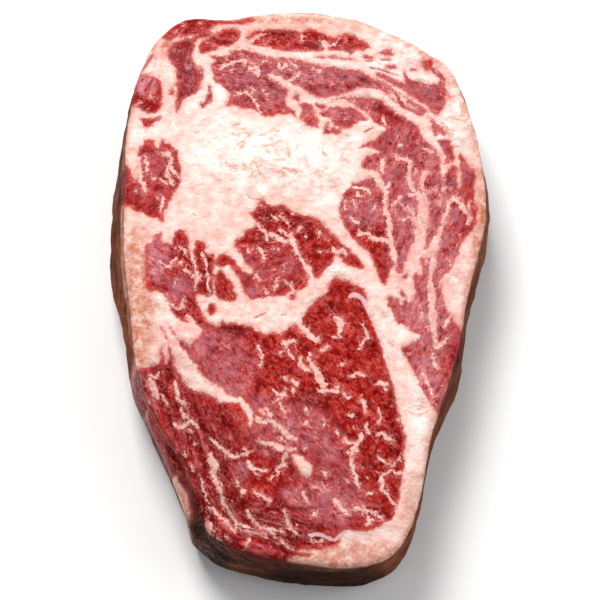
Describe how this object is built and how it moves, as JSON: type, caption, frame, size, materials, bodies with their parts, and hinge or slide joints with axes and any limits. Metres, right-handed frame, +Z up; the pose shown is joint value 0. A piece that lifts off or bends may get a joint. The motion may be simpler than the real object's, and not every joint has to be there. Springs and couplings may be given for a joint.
{
  "type": "raw ribeye steak",
  "caption": "Thick raw boneless beef steak with a rounded shield outline, soft rims, bulging fat-capped walls and a flat underside.",
  "frame": {"origin": "bottom centre of the bounding box, on the surface that the steak lies on", "axes": "+Z up through the slice's thickness, +Y from the narrow end to the broad end, +X to the right seen from above"},
  "size_m": [0.129, 0.1964, 0.03],
  "materials": {
    "meat": "moist raw beef: red lean marbled with cream fat"
  },
  "bodies": {
    "root": {"steak": "meat"}
  },
  "joints": []
}
